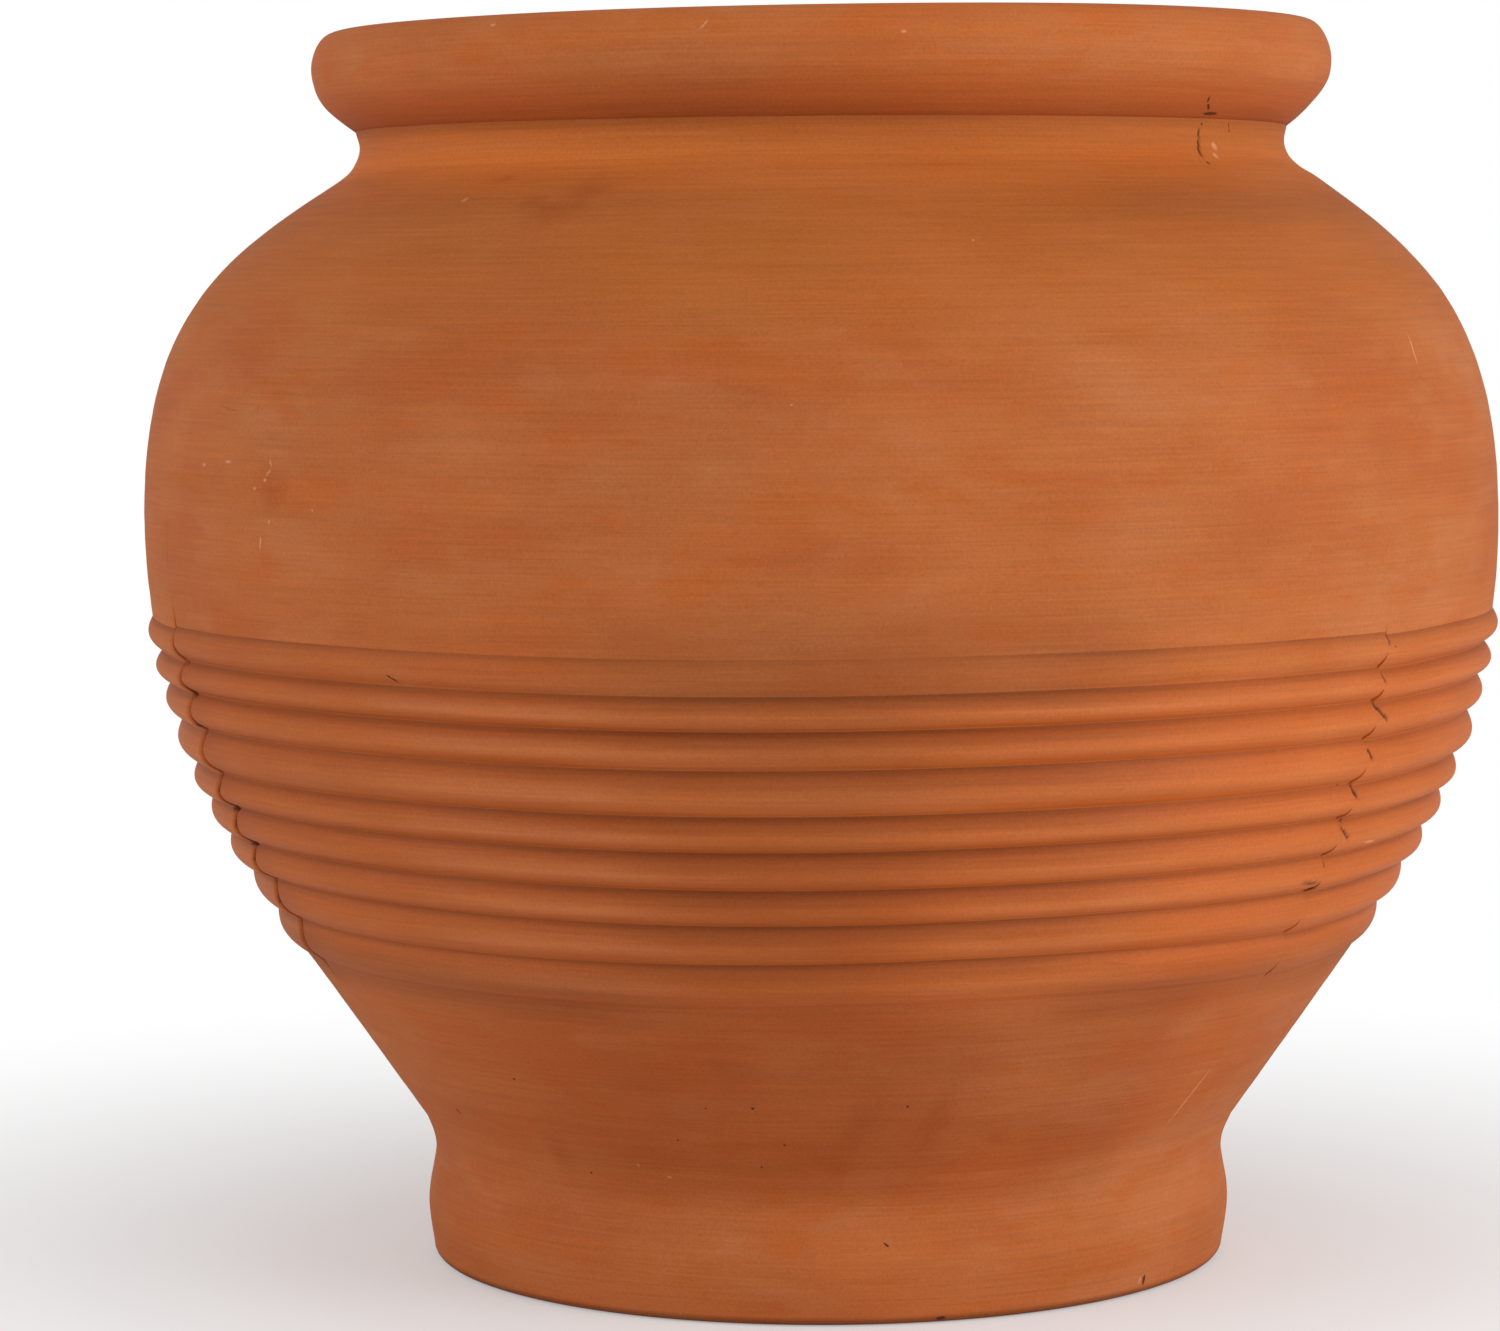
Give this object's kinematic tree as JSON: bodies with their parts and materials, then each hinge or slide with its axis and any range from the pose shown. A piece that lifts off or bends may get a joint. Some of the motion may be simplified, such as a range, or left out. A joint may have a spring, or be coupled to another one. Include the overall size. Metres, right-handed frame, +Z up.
{
  "type": "belly jar planter",
  "caption": "Large round unglazed clay planting jar with a waisted foot, pressed horizontal beads on the lower belly, a short neck and a thick rolled rim.",
  "frame": {"origin": "middle of the flat base, on the ground", "axes": "+Z up along the jar's axis, -Y towards the front of the picture, +X towards the viewer's right"},
  "size_m": [0.4518, 0.4522, 0.4111],
  "materials": {
    "clay_wall": "matt, sponged, unglazed",
    "clay_rim": "matt, sponged, unglazed",
    "clay_floor": "matt, unglazed",
    "clay_coil": "matt, finger-smoothed, unglazed"
  },
  "bodies": {
    "root": {"floor_slab": "clay_floor", "wall_front": "clay_wall", "wall_right": "clay_wall", "wall_left": "clay_wall", "rim_roll": "clay_rim", "floor_coil": "clay_coil", "seam_coil_left": "clay_coil", "seam_coil_right": "clay_coil", "seam_coil_back": "clay_coil"}
  },
  "joints": []
}
